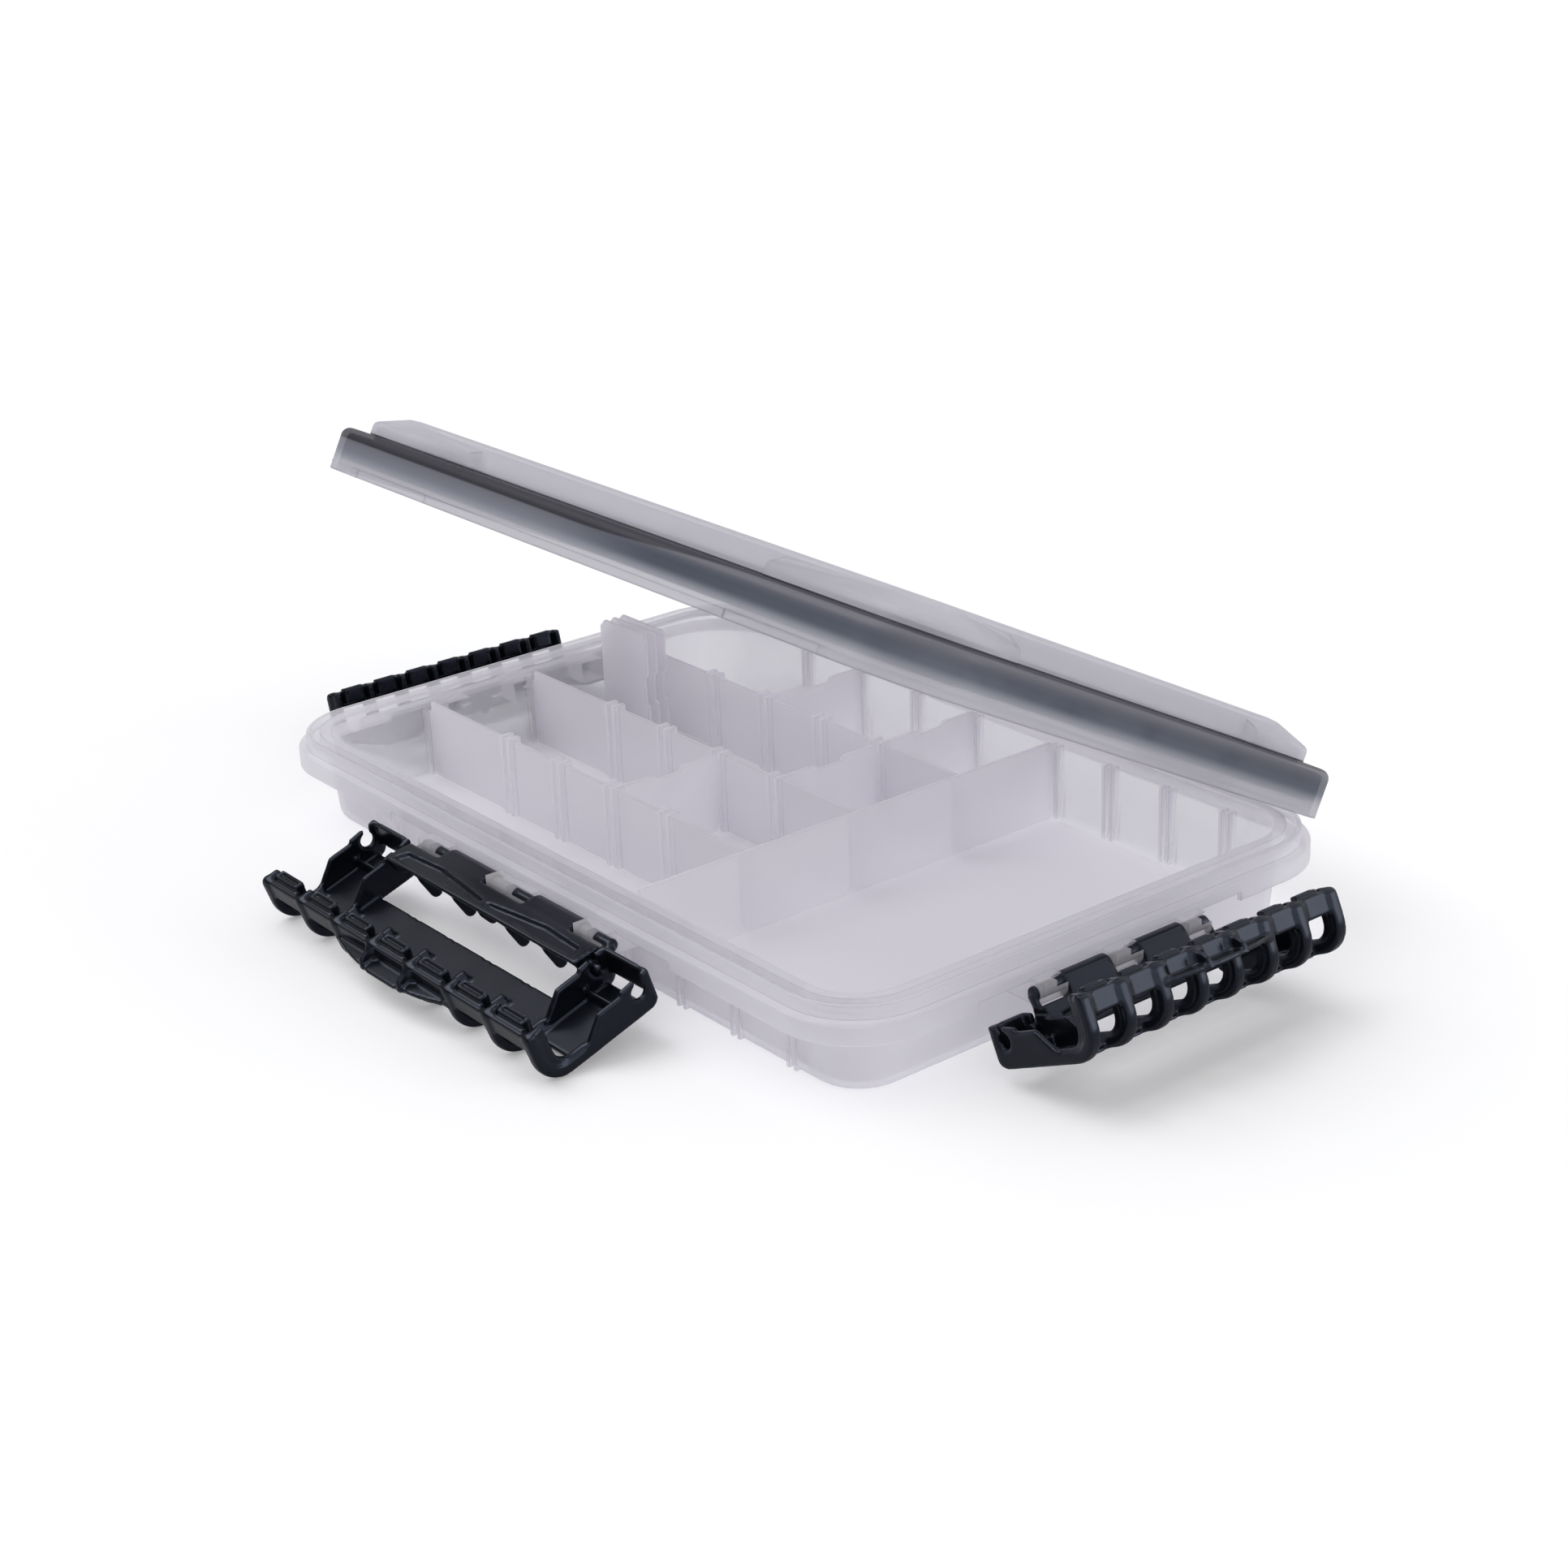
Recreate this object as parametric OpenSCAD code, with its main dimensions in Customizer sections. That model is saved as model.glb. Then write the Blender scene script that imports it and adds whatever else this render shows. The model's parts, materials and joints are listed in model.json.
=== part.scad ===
// Waterproof fishing tackle box: a shallow translucent tray with slotted
// dividers, a hinged lid with a seal, and three ribbed hook latches.
// Millimetres, +Z up. The origin is on the floor, at the plan centre of the
// tray. X runs along the long side and the hinge is at the back, on +Y.

/* [Tray] */
// Length over the tray's flange
box_l = 360; // [320:1:440]
// Width over the tray's flange
box_w = 233; // [225:1:280]
// Corner radius of the flange, seen from above
corner_r = 32.7; // [30:0.1:40]
// Height of the ledge that the lid's skirt closes on
ledge_z = 32; // [31:0.5:40]
// Thickness of the tray's walls
wall = 1.8; // [1.4:0.1:2.4]
// Thickness of the tray's bottom
floor_t = 2.4; // [1.8:0.1:3.5]
// Distance from the flange's edge to the wall below it
body_inset = 11.4; // [10:0.1:14]
// Draft of the wall from top to bottom
draft = 2.3; // [1:0.1:4]
// Depth of the flange's outer face
flange_h = 7.8; // [6:0.1:9]
// Height of the sealing lip above the ledge
lip_h = 4.9; // [3:0.1:6]
// Distance from the flange's edge to the sealing lip
lip_inset = 3.2; // [3:0.1:4]

/* [Lid] */
// Height of the lid's skirt
skirt_h = 17.2; // [14:0.1:22]
// Thickness of the skirt
skirt_t = 2.4; // [1.6:0.1:2.6]
// Thickness of the lid's top
lid_t = 1.8; // [1.2:0.1:2.4]
// Height of the raised panel above the skirt's top
panel_h = 10.9; // [8:0.1:14]
// Inset of the raised panel at the corners
panel_inset = 10.5; // [9:0.1:14]
// Depth of the panel's recesses behind the latches
latch_recess = 9; // [5:0.1:11]
// Angle at which the lid stands open
lid_open = 27.8; // [0:0.1:90]

/* [Dividers] */
// Thickness of a divider
divider_t = 1.6; // [1.2:0.1:2.2]
// Height of the dividers' top edge above the ledge
divider_rise = 2.5; // [0:0.1:3.5]
// X position of the wall between the channels and the open bay
bay_x = 46; // [40:1:60]
// Distance between two divider slots
slot_pitch = 35; // [30:1:38]
// Gap between the left wall and the spare dividers that stand on end
spare_gap = 8; // [8:0.5:20]

/* [Latches] */
// Distance from the link's pivot to the handle's pivot
link_len = 10.4; // [10:0.1:12]
// Half length of the front handle
front_half = 87.5; // [84:0.5:100]
// Half length of an end handle
end_half = 59; // [56:0.5:70]
// Thickness of a rib on the handles' grip
rib_t = 4.6; // [3.6:0.1:5]
// Angle of the front link above the horizontal
front_link_angle = -20; // [-30:0.1:-18]
// Angle of the front handle above the horizontal
front_handle_angle = -19; // [-19:0.1:0]
// Angle of the left link above the horizontal
left_link_angle = -32.4; // [-60:0.1:-30]
// Angle of the left handle above the horizontal
left_handle_angle = -15; // [-15:0.1:30]
// Angle of the right link above the horizontal
right_link_angle = -52.4; // [-85:0.1:-30]
// Angle of the right handle above the horizontal
right_handle_angle = 24.5; // [-15:0.1:90]

/* [Hidden] */
$fn = 48;

gap = 0.3;            // clearance between parts that move past each other
pin_play = 0.05;      // radial clearance of the pivots

// heights
lip_z = ledge_z + lip_h;
skirt_z = ledge_z + gap;
shoulder_z = skirt_z + skirt_h;
lid_top_z = shoulder_z + panel_h;
slope_h = 5;          // rise of the panel's sloping shoulder
slope_in = 17;        // its run
recess_play = 2;      // room round a latch in the panel's recess
recess_r = 5;
band_x = 26;          // shallow bands in the skirt: centre beyond the latch's room
band_len = 48;
band_h = 3.2;
band_d = 0.5;
flange_z = ledge_z - flange_h;
web_z = ledge_z - 2.4;
zone_z = flange_z + 3.3;
divider_z = floor_t + gap;
divider_top = ledge_z + divider_rise;

// tray walls, as insets from the flange's edge
inner_inset = body_inset + wall;
foot_inset = body_inset + draft;
foot_r = 5;
groove_w = 3.6;
groove_h = 3.4;
lip_t = 1.8;
half_l = box_l / 2;
half_w = box_w / 2;
wall_x = half_l - inner_inset - draft;
wall_y = half_w - inner_inset - draft;

// latch pivots, in the latch's own frame: x outward from the flange's edge
pivot_x = 2.5;
pivot_z = ledge_z - 7.8;
shaft_r = 2.5;
stub_r = 2;
land_r = 3.8;
lug_r = 4.3;
closed_link_angle = -85;
snap_angle = 50;      // the lug's mouth, above the horizontal
snap_w = 3.8;
plate_z = 5.1;        // outer face of the link's plate above its pivot line
ridge_x = 16.6;       // free edge of the link's plate
gusset_tip = 8.4;     // how far a gusset reaches below the link's pivot line
// the hook closes over the lid's shoulder when the handle stands upright
hook_u = shoulder_z - (pivot_z + link_len * sin(closed_link_angle)) + gap;
base_v = 9.5;         // outer face of the handle's base below its pivot
base_t = 2;
rib_u = 24;            // where a rib's hook starts, along the arm
rib_v = 4.4;           // inner face of a rib below its pivot
grip_u = hook_u + 7.8;
nose_v = 12.6;
window_u = 14;         // far edge of the window between handle and link
strip_w = 16;
rib_count = 8;
rib_web_t = 2.8;       // a rib's inner web, thinner than its outer bead
bead_h = 3.8;          // depth of the bead
bar_step = 0.9;        // how far the bar lies inside the ribs
bar_t = 2.6;
bar_v = 4.6;           // lower edge of the bar
zone_front = front_half + 0.5;
zone_end = end_half + 2;

// lugs: centre and width of each, for the front and for the ends
front_lugs = [[-50, 16], [0, 25], [50, 16]];
end_lugs = [[-33.6, 11], [0, 13], [33.6, 11]];
front_gussets = [-40, -17, 0, 17, 40];
end_gussets = [-27, -9, 9, 27];
mid_gusset = 0.55;    // the middle gusset's reach, as a share of the others'
front_link_half = 60.5;
end_link_half = 41.5;
link_end_t = 2;
stub_l = 6.4;
clip_r = 2.8;         // round clip in the handle's end plate
clip_slit = 2.4;
bearing_slit = 2.8;

// lid hinge
hinge_y = half_w + 3.3;
hinge_z = ledge_z + 0.5;
knuckle_r = 2.9;
knuckle_w = 9;
knuckle_step = knuckle_w + 0.5;
hinge_x = 95;
pin_r = 1.3;

// dividers
slot_rib_d = 2;
pad_w = 2.6;
wall_gap = 0.4;       // clearance between a divider's end and the tray's wall
foot_cut = 3;         // corner cut that clears the rounded foot of the walls
step_w = 2.6;         // step in a divider's upper corner, under the lid's seal
step_h = 4.4;
channel = (wall_y - wall_gap + divider_t / 2 + gap) / 2;
cross_w = channel - divider_t - 2 * gap;
first_slot = bay_x - 4.3 * slot_pitch;
slot_w = divider_t + 2 * gap;
slot_rib_w = 1.4;
slots = [for (i = [0:3]) first_slot + i * slot_pitch];
bay_pitch = 30;
bay_slots = [for (i = [1:3]) bay_x + i * bay_pitch];
spare_rows = [0.62, 0.71, 0.80];  // spare dividers across the third channel, as shares of its width

clear_pp = [0.80, 0.79, 0.83, 0.55];
divider_pp = [0.82, 0.81, 0.84, 0.6];
black = [0.13, 0.14, 0.16];
grey = [0.33, 0.34, 0.38];

// ---- helpers ----

// carries a profile (x outward, y up, x = 0 on the corner's axis) round a
// rounded rectangle l by w with corner radius r
module around(l, w, r) {
  cx = l / 2 - r;
  cy = w / 2 - r;
  for (i = [0:3]) {
    sx = (i == 0 || i == 3) ? 1 : -1;
    sy = (i < 2) ? 1 : -1;
    translate([sx * cx, sy * cy, 0])
      rotate([0, 0, 90 * i])
        rotate_extrude(angle = 90)
          children();
    side = (i % 2 == 0) ? 2 * cy : 2 * cx;
    translate([sx * cx, sy * cy, 0])
      rotate([90, 0, 90 * i])
        linear_extrude(side)
          children();
  }
}

// extrudes a profile in the X-Z plane along Y, from y0 to y1
module along(y0, y1) {
  translate([0, y1, 0])
    rotate([90, 0, 0])
      linear_extrude(y1 - y0)
        children();
}

// a rounded rectangle with exact arcs, centred
module rounded(l, w, r) {
  square([l - 2 * r, w], center = true);
  square([l, w - 2 * r], center = true);
  for (sx = [-1, 1], sy = [-1, 1])
    translate([sx * (l / 2 - r), sy * (w / 2 - r)])
      circle(r);
}

// points of an arc about [x, y]
function arc(x, y, r, a0, a1, n = 6) =
  [for (i = [0:n]) [x + r * cos(a0 + (a1 - a0) * i / n), y + r * sin(a0 + (a1 - a0) * i / n)]];

// places a latch part: "front", "left" or "right"
module at_side(side) {
  if (side == "right") translate([half_l, 0, 0]) children();
  if (side == "left") translate([-half_l, 0, 0]) rotate([0, 0, 180]) children();
  if (side == "front") translate([0, -half_w, 0]) rotate([0, 0, -90]) children();
}

// ---- tray ----

// cross-section of the tray's wall, flange, lip and bottom
module tray_section() {
  r = corner_r;
  polygon(concat(
    [[0, 0]],
    arc(r - foot_inset - foot_r, foot_r, foot_r, -90, 0),
    [[r - body_inset, web_z], [r - wall, web_z], [r - wall, flange_z]],
    arc(r - 0.6, flange_z + 0.6, 0.6, -90, 0, 3),
    arc(r - 1, ledge_z - 1, 1, 0, 90, 3),
    [[r - lip_inset, ledge_z]],
    arc(r - lip_inset - 0.6, lip_z - 0.6, 0.6, 0, 90, 3),
    [[r - lip_inset - lip_t, lip_z], [r - lip_inset - lip_t, lip_z - groove_h]],
    [[r - lip_inset - lip_t - groove_w, lip_z - groove_h], [r - lip_inset - lip_t - groove_w, lip_z]],
    arc(r - inner_inset + 1, lip_z - 1, 1, 90, 180, 3),
    arc(r - inner_inset - draft - 3, floor_t + 3, 3, 0, -90, 4),
    [[0, floor_t]]
  ));
}

// one latch lug, with the hook that the link's shaft snaps into
module lug(y, w) {
  difference() {
    translate([0, y, 0])
      along(-w / 2, w / 2)
        union() {
          translate([pivot_x, pivot_z]) circle(lug_r);
          translate([-body_inset - 1, pivot_z - lug_r]) square([body_inset + 1 + pivot_x, 2 * lug_r]);
          translate([pivot_x, pivot_z + 0.5]) square([lug_r, lug_r - 0.5]);
        }
    translate([0, y, 0])
      along(-w, w)
        translate([pivot_x, pivot_z]) circle(shaft_r + pin_play);
    translate([pivot_x, y + w / 2 - 0.45 * w, pivot_z])
      rotate([0, -snap_angle, 0])
        translate([0, 0, -snap_w / 2])
          cube([3 * lug_r, w, snap_w]);
  }
}

module lugs(list) {
  for (l = list) lug(l[0], l[1]);
}

// pair of ribs that holds a divider's end against the front (-1) or rear (1) wall
module wall_slot(x, sy) {
  for (s = [-1, 1])
    translate([x + s * (slot_w + slot_rib_w) / 2 - slot_rib_w / 2, 0, 0])
      translate([0, sy > 0 ? wall_y - slot_rib_d : -wall_y - draft - 0.6, floor_t - 0.4])
        cube([slot_rib_w, slot_rib_d + draft + 0.6, divider_top - floor_t - 1.5]);
}

// pair of ribs on the left end wall for a long divider
module end_slot(y) {
  for (s = [-1, 1])
    translate([-wall_x - draft - 0.6, y + s * (slot_w + slot_rib_w) / 2 - slot_rib_w / 2, floor_t - 0.4])
      cube([slot_rib_d + draft + 0.6, slot_rib_w, divider_top - floor_t - 3]);
}

// knuckles on one hinge: parity 0 for the tray, 1 for the lid
module knuckles(cx, parity) {
  for (i = [parity:2:4])
    translate([cx + (i - 2) * knuckle_step - knuckle_w / 2, hinge_y, hinge_z])
      rotate([0, 90, 0])
        cylinder(r = knuckle_r, h = knuckle_w);
}

module knuckle_bores(cx) {
  translate([cx - 3 * knuckle_step, hinge_y, hinge_z])
    rotate([0, 90, 0])
      cylinder(r = pin_r + pin_play, h = 6 * knuckle_step);
}

// the arms of the tray's knuckles, below the ledge
module tray_arms(cx) {
  for (i = [0:2:4])
    translate([cx + (i - 2) * knuckle_step - knuckle_w / 2, half_w - 0.6, flange_z + 1.2])
      cube([knuckle_w, hinge_y - half_w + 0.6, ledge_z - flange_z - 1.4]);
}

module tray() {
  color(clear_pp)
    difference() {
      union() {
        difference() {
          union() {
            around(box_l, box_w, corner_r) tray_section();
            translate([corner_r - half_l, corner_r - half_w, 0])
              cube([box_l - 2 * corner_r, box_w - 2 * corner_r, floor_t]);
          }
          // the flange's lower edge is cut back where the latches hang
          translate([-zone_front, -half_w - 1, flange_z - 1])
            cube([2 * zone_front, wall + 1.01, zone_z - flange_z + 1]);
          for (s = [-1, 1])
            translate([s * (half_l + 1) - (wall + 1.01) * (s + 1) / 2, -zone_end, flange_z - 1])
              cube([wall + 1.01, 2 * zone_end, zone_z - flange_z + 1]);
        }
        at_side("front") lugs(front_lugs);
        at_side("right") lugs(end_lugs);
        at_side("left") lugs(end_lugs);
        for (s = [-1, 1]) {
          for (x = slots) wall_slot(x, s);
          for (x = bay_slots) wall_slot(x, s);
          wall_slot(bay_x, s);
        }
        for (i = [-1:1]) end_slot(i * channel);
        for (s = [-1, 1]) {
          knuckles(s * hinge_x, 0);
          tray_arms(s * hinge_x);
        }
      }
      for (s = [-1, 1]) knuckle_bores(s * hinge_x);
    }
}

// ---- lid ----

// turns a part modelled on the closed box to where the lid stands open
module on_lid() {
  translate([0, hinge_y, hinge_z])
    rotate([-lid_open, 0, 0])
      translate([0, -hinge_y, -hinge_z])
        children();
}

// cross-section of the skirt and the shoulder, inward to the panel
module skirt_section() {
  r = corner_r;
  shoulder_r = 3.5;
  inner_r = shoulder_r - 1.6;
  polygon(concat(
    [[r - skirt_t, skirt_z], [r, skirt_z]],
    arc(r - shoulder_r, shoulder_z - shoulder_r, shoulder_r, 0, 90),
    [[r - 22, shoulder_z], [r - 22, shoulder_z - lid_t]],
    arc(r - skirt_t - inner_r, shoulder_z - lid_t - inner_r, inner_r, 90, 0, 4)
  ));
}

// cross-section of the raised panel, shrunk by t, from z0 up: an upright side,
// a rounded edge and a sloping shoulder
module panel_section(t, z0) {
  side = corner_r - panel_inset - t;
  edge_r = 2.4 - t / 2;
  edge_z = lid_top_z - slope_h - t;
  polygon(concat(
    [[0, z0], [side, z0]],
    arc(side - edge_r, edge_z - edge_r, edge_r, 0, 72, 4),
    [[side - slope_in + 4, lid_top_z - t - 0.5], [side - slope_in, lid_top_z - t], [0, lid_top_z - t]]
  ));
}

// the recesses behind the latches, grown by t, where their hooks drop in
module latch_recesses(t) {
  depth = panel_inset + latch_recess + t;
  for (s = [-1, 1])
    translate([s * half_l, 0])
      rounded(2 * depth, 2 * (zone_end + recess_play + t), recess_r + t);
  translate([0, -half_w])
    rounded(2 * (zone_front + recess_play + t), 2 * depth, recess_r + t);
}

// the panel as a solid block, shrunk by t
module panel_block(t, z0) {
  difference() {
    union() {
      around(box_l, box_w, corner_r) panel_section(t, z0);
      translate([corner_r - half_l, corner_r - half_w, z0])
        cube([box_l - 2 * corner_r, box_w - 2 * corner_r, lid_top_z - t - z0]);
    }
    translate([0, 0, z0 - 1])
      linear_extrude(lid_top_z - z0 + 2)
        latch_recesses(t);
  }
}

// shallow bands in the skirt's front face, beside the latch
module skirt_bands() {
  for (s = [-1, 1])
    translate([s * (zone_front + band_x) - band_len / 2, -half_w - 1, skirt_z - 1])
      cube([band_len, band_d + 1, band_h + 1]);
}

// the arms of the lid's knuckles, above the ledge
module lid_arms(cx) {
  for (i = [1:2:3])
    translate([cx + (i - 2) * knuckle_step - knuckle_w / 2, half_w - 0.6, skirt_z])
      cube([knuckle_w, hinge_y - half_w + 0.6, 5]);
}

module lid() {
  color(clear_pp)
    on_lid()
      difference() {
        union() {
          difference() {
            union() {
              around(box_l, box_w, corner_r) skirt_section();
              panel_block(0, shoulder_z - lid_t);
            }
            panel_block(lid_t, shoulder_z - 2 * lid_t);
            skirt_bands();
          }
          for (s = [-1, 1]) {
            knuckles(s * hinge_x, 1);
            lid_arms(s * hinge_x);
          }
        }
        for (s = [-1, 1]) knuckle_bores(s * hinge_x);
      }
}

// cross-section of the seal: a band inside the skirt with a bead over the lip
module seal_section() {
  r = corner_r;
  top = shoulder_z - lid_t - 0.05;
  out = r - skirt_t - 0.15;
  polygon([
    [out - 1.6, skirt_z + 5.6], [out, skirt_z + 5.6],
    [out, top - 2.2], [out - 2.2, top],
    [out - 8, top], [out - 8, top - 2],
    [out - 6, top - 3], [out - 5.6, lip_z + gap],
    [out - 3, lip_z + gap], [out - 2.6, top - 3], [out - 1.6, top - 4]
  ]);
}

module lid_seal() {
  color(grey)
    on_lid()
      around(box_l, box_w, corner_r) seal_section();
}

// ---- hinge pins ----

module hinge_pin(cx) {
  color("silver")
    translate([cx - 2.5 * knuckle_step, hinge_y, hinge_z])
      rotate([0, 90, 0])
        cylinder(r = pin_r, h = 5 * knuckle_step);
}

// ---- latches ----

// puts the link's frame at its pivot: x along the link, z to its outer face
module at_link(angle) {
  translate([pivot_x, 0, pivot_z])
    rotate([0, -angle, 0])
      children();
}

// puts the handle's frame at the end of the link
module at_handle(link_angle, angle) {
  translate([pivot_x + link_len * cos(link_angle), 0, pivot_z + link_len * sin(link_angle)])
    rotate([0, -angle, 0])
      children();
}

// side view of the link's plate
module link_plate() {
  polygon(concat(
    [[4.8, 2.4], [4.8, 4.4], [6.2, plate_z - 0.4]],
    [[9, plate_z], [ridge_x - 1.2, plate_z + 0.8]],
    arc(ridge_x - 0.8, plate_z, 0.8, 70, -90, 5),
    [[11, 2.2]]
  ));
}

// side view of the link's end wall
module link_end() {
  polygon(concat(
    [[4.8, 4], [4.8, -2.2]],
    arc(link_len, -0.6, 4.2, 200, 330, 8),
    [[ridge_x - 0.6, 4]]
  ));
}

// side view of a gusset under the plate, reaching tip below the pivot line
module link_gusset(tip) {
  polygon(concat(
    [[4.8, 4], [4.8, 0]],
    arc(ridge_x - 5, 2.4 - tip, 2.4, 215, 340, 5),
    [[ridge_x - 0.8, 1.5], [ridge_x - 0.6, 4]]
  ));
}

// side view of a land between two lugs
module link_land() {
  circle(land_r);
  polygon([[0, -land_r], [0, land_r], [4.9, 4.4], [6.2, 4.4], [6.2, -1.5]]);
}

module link(side, angle, half, lug_list, gussets) {
  color(black)
    at_side(side)
      at_link(angle)
        difference() {
          union() {
            along(-half, half) link_plate();
            translate([0, half - 1.2, 0])
              rotate([90, 0, 0])
                cylinder(r = shaft_r, h = 2 * half - 2.4);
            for (i = [0:1])
              along(lug_list[i][0] + lug_list[i][1] / 2 + gap, lug_list[i + 1][0] - lug_list[i + 1][1] / 2 - gap)
                link_land();
            for (s = [-1, 1]) {
              translate([0, s * (half - link_end_t / 2), 0])
                along(-link_end_t / 2, link_end_t / 2)
                  union() {
                    link_end();
                    translate([0, -1.5]) square([5, 3]);
                  }
              translate([link_len, s * (half + 2.2), 0])
                rotate([90, 0, 0])
                  cylinder(r = stub_r, h = stub_l, center = true);
            }
            for (y = gussets)
              translate([0, y, 0])
                along(-1, 1)
                  link_gusset(y == 0 ? mid_gusset * gusset_tip : gusset_tip);
          }
          // two long hollows in the outer face that narrow to the middle
          for (s = [0, 1])
            mirror([0, s, 0])
              translate([ridge_x - 1.6, 0, plate_z - 0.5])
                rotate([0, -9, 0])
                  linear_extrude(3)
                    polygon([[-3.2, 1.5], [-6.6, 0.55 * half], [-5.4, half - 6], [-0.4, half - 3.5],
                      [0, 0.6 * half], [-2, 1.5]]);
        }
}

// side view of the handle's end plate, without the grip's rib
module end_plate() {
  polygon(concat(
    [[-6.3, 5.4]],
    arc(-2.2, -base_v + 4, 4, 170, 270, 5),
    [[rib_u + 1, -base_v], [rib_u + 1, -rib_v], [rib_u, -rib_v]],
    [[rib_u - 3.7, -0.9], [rib_u - 7.5, 2.8], [6.4, 2.8], [6.4, 4.1]]
  ));
}

// side view of a rib: a C that opens towards the box, t thick where it is
// straight, or as thick as the whole grip where t is 0
module grip_rib(t) {
  low = t > 0 ? t - base_v : -rib_v;
  back = t > 0 ? grip_u - t : hook_u;
  inner_r = t > 0 ? 11 - t : 6;
  polygon(concat(
    [[rib_u, low], [rib_u, -base_v]],
    arc(grip_u - 11, 11 - base_v, 11, -90, 0, 9),
    arc(grip_u - 2.5, nose_v - 2.5, 2.5, 0, 90, 4),
    arc(back + 1, nose_v - 1, 1, 90, 180, 2),
    arc(back - inner_r, low + inner_r, inner_r, 0, -90, 7)
  ));
}

// a hook between two ribs: a block with rounded corners and a shallow pocket
module grip_hook(w) {
  depth = grip_u - bar_step - bar_t - hook_u + 0.2;
  r = 1.6;
  translate([hook_u + 0.2 + depth / 2, 0, nose_v - 5.8])
    difference() {
      linear_extrude(5.2) rounded(depth, w, r);
      translate([0, 0, 4.4]) linear_extrude(1) rounded(depth - 2, w - 2.2, 0.8);
    }
}

// the ledge in the middle of the grip that a thumb pushes on
module thumb_ledge(half, pitch) {
  depth = 5.5;
  along_w = 1.5 * pitch;
  translate([0, 0, bar_v])
    linear_extrude(1.8)
      polygon([[grip_u - bar_t, -along_w], [grip_u + 0.4, -along_w], [grip_u + 3.6, -0.9 * pitch],
        [grip_u + depth, -0.35 * pitch], [grip_u + depth, 0.35 * pitch], [grip_u + 3.6, 0.9 * pitch],
        [grip_u + 0.4, along_w], [grip_u - bar_t, along_w]]);
  for (y = [-0.5, 0.5])
    translate([0, y * pitch, 0])
      along(-1, 1)
        polygon([[grip_u - bar_t, bar_v], [grip_u + depth, bar_v], [grip_u + depth - 0.8, bar_v + 4],
          [grip_u - 0.4, nose_v - 1.2], [grip_u - bar_t, nose_v - 1.2]]);
}

module handle(side, link_angle, angle, half, link_half) {
  pitch = (2 * half - rib_t) / (rib_count - 1);
  plate_t = 2.2;
  web_y = link_half + 0.8;
  web_t = 2.4;
  color(black)
    at_side(side)
      at_handle(link_angle, angle)
        difference() {
          union() {
            // base strip between the window and the grip
            along(-half + 0.2, half - 0.2)
              translate([window_u, -base_v]) square([strip_w, base_t]);
            // grip: eight ribs joined by a bar at their free ends, with hooks between them
            for (i = [0:rib_count - 1])
              translate([0, -half + rib_t / 2 + i * pitch, 0]) {
                along(-rib_t / 2, rib_t / 2) grip_rib(bead_h);
                along(-rib_web_t / 2, rib_web_t / 2) grip_rib(0);
              }
            for (i = [0:rib_count - 2])
              translate([0, -half + rib_t / 2 + (i + 0.5) * pitch, 0])
                grip_hook(0.6 * pitch);
            along(-half + 1, half - 1)
              translate([grip_u - bar_step - bar_t, bar_v])
                square([bar_t, nose_v - 0.6 - bar_v]);
            thumb_ledge(half, pitch);
            for (s = [-1, 1]) {
              // end plate, bearing web, tip wall and base of the end block
              translate([0, s * (half - plate_t / 2), 0])
                along(-plate_t / 2, plate_t / 2) end_plate();
              translate([0, s * (web_y + web_t / 2), 0])
                along(-web_t / 2, web_t / 2) end_plate();
              block = half - web_y;
              translate([0, s * (web_y + block / 2), 0])
                along(-block / 2 + 0.2, block / 2 - 0.2)
                  union() {
                    translate([-2, -base_v]) square([window_u + 3, base_t]);
                    polygon([[-6.3, 5.4], [-6.1, -4.6], [-4.2, -5], [-4.4, 5.2]]);
                    translate([6.4, -base_v]) square([1.6, 6.5]);
                  }
            }
          }
          for (s = [-1, 1]) {
            // bearing for the link's stub, with the slit it snaps through
            translate([0, s * (web_y + web_t / 2), 0])
              rotate([90, 0, 0])
                cylinder(r = stub_r + pin_play, h = web_t + 1, center = true);
            translate([-bearing_slit / 2, s * (web_y + web_t / 2) - web_t / 2 - 0.5, 0])
              cube([bearing_slit, web_t + 1, 8]);
            // round clip in the end plate
            translate([0, s * (half - plate_t / 2), 0])
              rotate([90, 0, 0])
                cylinder(r = clip_r, h = plate_t + 1, center = true);
            translate([-clip_slit / 2, s * (half - plate_t / 2) - plate_t / 2 - 0.5, 0])
              rotate([0, -20, 0])
                cube([clip_slit, plate_t + 1, 8]);
          }
        }
}

// ---- dividers ----

module long_divider(y) {
  left = -wall_x + wall_gap;
  right = bay_x - divider_t / 2 - gap;
  color(divider_pp)
    translate([0, y, 0]) {
      along(-divider_t / 2, divider_t / 2)
        polygon([[left + foot_cut, divider_z], [right, divider_z], [right, divider_top],
          [left + step_w, divider_top], [left + step_w, divider_top - step_h],
          [left, divider_top - step_h], [left, divider_z + foot_cut]]);
      // slot ribs for the cross dividers, on both faces
      for (x = slots, s = [-1, 1])
        translate([x + s * (slot_w + pad_w) / 2 - pad_w / 2, -divider_t / 2 - slot_rib_d, divider_z])
          cube([pad_w, divider_t + 2 * slot_rib_d, divider_top - divider_z + 1.2]);
    }
}

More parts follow.
